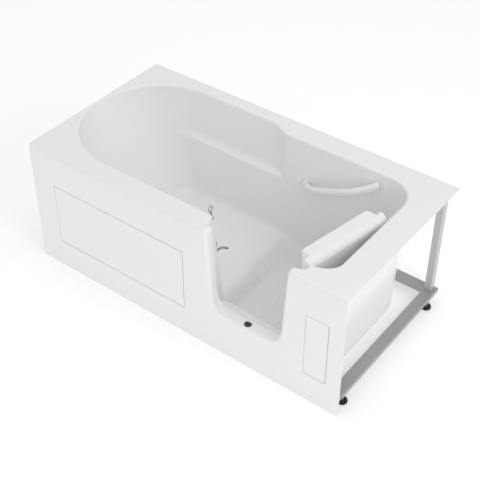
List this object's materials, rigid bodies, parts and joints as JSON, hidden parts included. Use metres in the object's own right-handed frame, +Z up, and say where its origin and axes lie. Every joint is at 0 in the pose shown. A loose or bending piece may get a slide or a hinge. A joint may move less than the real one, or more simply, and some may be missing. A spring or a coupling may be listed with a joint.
{
  "type": "walk-in bathtub with door",
  "caption": "Walk-in soaking bathtub: rectangular rim, reclined head end, stepped floor, inward swinging door, grab bar, apron with access panels, steel cradle on levelling feet",
  "frame": {"origin": "on the floor at the centre of the tub's footprint", "axes": "+X to the drain end, -Y to the apron and its doorway, +Z up"},
  "size_m": [1.524, 0.787, 0.6047],
  "materials": {
    "shell": "glossy moulded acrylic",
    "apron": "glossy moulded acrylic",
    "door": "glossy moulded acrylic",
    "grab_bar": "smooth moulded plastic",
    "foam": "cast polyurethane foam",
    "seal": "soft moulded rubber",
    "frame_steel": "galvanised and clear coated",
    "zinc": "bright zinc plated",
    "stainless": "satin stainless",
    "chrome": "polished chrome plate",
    "black_rubber": "matte black rubber",
    "pipe_plastic": "white pipe plastic",
    "pad_board": "plain board",
    "foot_plastic": "black moulded nylon"
  },
  "bodies": {
    "tub": {"tub_shell": "shell", "front_apron": "apron", "large_access_panel": "apron", "small_access_panel": "apron", "panel_clips": "zinc", "hinge_jamb_leaves": "stainless", "hinge_pins": "stainless", "hinge_jamb_screws": "stainless", "latch_brackets": "chrome", "latch_screws": "chrome", "grab_bar": "grab_bar", "grab_bar_bolts": "zinc", "sill_plug": "black_rubber", "front_rail": "frame_steel", "rear_rail": "frame_steel", "drain_end_rail": "frame_steel", "head_end_rail": "frame_steel", "cross_rails": "frame_steel", "well_bearers": "frame_steel", "uprights": "frame_steel", "upright_clips": "frame_steel", "floor_pads": "pad_board", "foot_nuts": "zinc", "drain_flange": "chrome", "drain_gasket": "black_rubber", "drain_body": "pipe_plastic", "overflow_plate": "chrome", "overflow_gasket": "black_rubber", "overflow_elbow": "pipe_plastic"},
    "door": {"door_outer_panel": "door", "door_inner_panel": "door", "door_core": "foam", "door_seal": "seal", "hinge_door_leaves": "stainless", "hinge_door_screws": "stainless", "latch_keeper": "chrome", "keeper_screws": "chrome"},
    "latch": {"latch_rod": "chrome", "latch_ring": "chrome", "latch_finger": "chrome", "finger_cap": "black_rubber"},
    "plug": {"plug_cap": "chrome", "plug_stem": "chrome"},
    "foot_1": {"foot_pad_1": "foot_plastic", "foot_stud_1": "zinc"},
    "foot_2": {"foot_pad_2": "foot_plastic", "foot_stud_2": "zinc"},
    "foot_3": {"foot_pad_3": "foot_plastic", "foot_stud_3": "zinc"},
    "foot_4": {"foot_pad_4": "foot_plastic", "foot_stud_4": "zinc"},
    "foot_5": {"foot_pad_5": "foot_plastic", "foot_stud_5": "zinc"},
    "foot_6": {"foot_pad_6": "foot_plastic", "foot_stud_6": "zinc"}
  },
  "joints": [
    {"name": "door_swing", "type": "hinge", "parent": "tub", "child": "door", "pos_m": [0.545, -0.318, 0.4], "axis": [0, 0, 1], "range_deg": [0, 101]},
    {"name": "latch_turn", "type": "hinge", "parent": "tub", "child": "latch", "pos_m": [0.103, -0.27454, 0.38478], "axis": [-0.0645, -0.0522, 0.9965], "range_deg": [-88, 0]},
    {"name": "plug_lift", "type": "slide", "parent": "tub", "child": "plug", "axis": [0, 0, 1], "range_m": [0, 0.009]},
    {"name": "foot_1_screw", "type": "slide", "parent": "tub", "child": "foot_1", "axis": [0, 0, 1], "range_m": [-0.02, 0]},
    {"name": "foot_2_screw", "type": "slide", "parent": "tub", "child": "foot_2", "axis": [0, 0, 1], "range_m": [-0.02, 0]},
    {"name": "foot_3_screw", "type": "slide", "parent": "tub", "child": "foot_3", "axis": [0, 0, 1], "range_m": [-0.02, 0]},
    {"name": "foot_4_screw", "type": "slide", "parent": "tub", "child": "foot_4", "axis": [0, 0, 1], "range_m": [-0.02, 0]},
    {"name": "foot_5_screw", "type": "slide", "parent": "tub", "child": "foot_5", "axis": [0, 0, 1], "range_m": [-0.02, 0]},
    {"name": "foot_6_screw", "type": "slide", "parent": "tub", "child": "foot_6", "axis": [0, 0, 1], "range_m": [-0.02, 0]}
  ]
}
